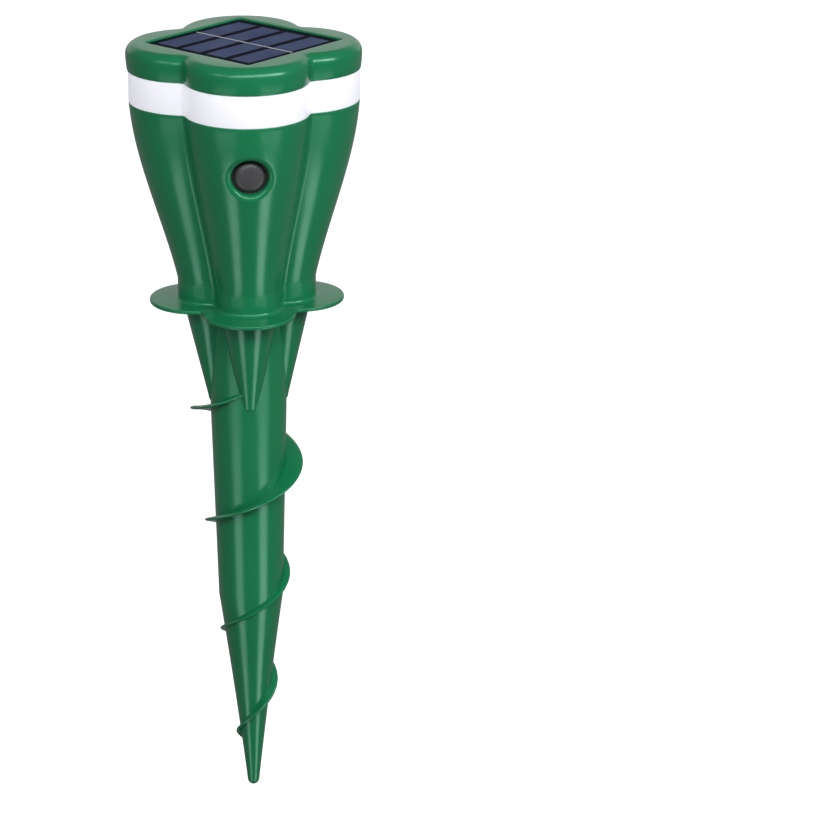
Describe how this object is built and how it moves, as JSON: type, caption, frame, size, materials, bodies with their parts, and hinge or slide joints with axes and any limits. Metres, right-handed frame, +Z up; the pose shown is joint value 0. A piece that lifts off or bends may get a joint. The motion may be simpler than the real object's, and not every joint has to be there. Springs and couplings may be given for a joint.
{
  "type": "solar ultrasonic pest repeller stake",
  "caption": "Clover-shaped solar repeller head with a light band and a push button, standing on a tapered screw-bladed ground stake.",
  "frame": {"origin": "tip of the ground stake, on its axis", "axes": "+Z up along the stake, -Y out of the front through the button, +X to the right seen from the front"},
  "size_m": [0.11, 0.11, 0.3874],
  "materials": {
    "shell_green": "glossy moulded green plastic",
    "stake_green": "glossy moulded green plastic",
    "band_white": "translucent white plastic",
    "seal_rubber": "soft black rubber",
    "foam_tape": "double-sided foam tape",
    "panel_black": "black laminate",
    "cell_blue": "dark blue silicon",
    "tinned_ribbon": "tinned ribbon",
    "clear_coat": "clear resin",
    "screw_steel": "zinc plated",
    "reflector_white": "white reflector",
    "circuit_green": "solder mask over fibreglass",
    "lamp_yellow": "phosphor lamp",
    "chip_black": "moulded epoxy",
    "capacitor_can": "drawn can",
    "coil_copper": "lacquered copper",
    "socket_ivory": "moulded nylon",
    "holder_black": "moulded black plastic",
    "battery_wrap": "shrink sleeve",
    "contact_nickel": "nickel plated",
    "sounder_brass": "thin rolled disc",
    "button_grey": "satin dark grey",
    "plunger_red": "moulded red plastic",
    "lead_red": "insulated wire",
    "lead_black": "insulated wire"
  },
  "bodies": {
    "stake": {"stake": "stake_green"},
    "head": {"band_seals": "seal_rubber", "battery_can": "battery_wrap", "battery_contacts": "contact_nickel", "battery_holder": "holder_black", "battery_lead_negative": "lead_black", "battery_lead_positive": "lead_red", "battery_nub": "contact_nickel", "board_screws": "screw_steel", "boost_coil": "coil_copper", "bus_ribbon": "tinned_ribbon", "button_guide": "holder_black", "capacitors": "capacitor_can", "controller_chip": "chip_black", "guide_screws": "screw_steel", "housing": "shell_green", "lead_sockets": "socket_ivory", "leds": "lamp_yellow", "lid": "shell_green", "lid_screws": "screw_steel", "light_band": "band_white", "main_board": "circuit_green", "panel_board": "panel_black", "panel_coat": "clear_coat", "panel_lead_negative": "lead_black", "panel_lead_positive": "lead_red", "panel_pad": "foam_tape", "reflector": "reflector_white", "socket_seal": "seal_rubber", "solar_cells": "cell_blue", "sounder_can": "holder_black", "sounder_disc": "sounder_brass", "sounder_lead_negative": "lead_black", "sounder_lead_positive": "lead_red", "switch_board": "circuit_green", "switch_body": "holder_black", "switch_lead_negative": "lead_black", "switch_lead_positive": "lead_red", "switch_screws": "screw_steel"},
    "button": {"button": "button_grey", "switch_plunger": "plunger_red"}
  },
  "joints": [
    {"name": "head_lift", "type": "slide", "parent": "stake", "child": "head", "axis": [0, 0, 1], "range_m": [0, 0.03]},
    {"name": "button_press", "type": "slide", "parent": "head", "child": "button", "axis": [0, 1, 0], "range_m": [0, 0.001], "stiffness_N_per_m": 600, "springref_m": -0.002}
  ]
}
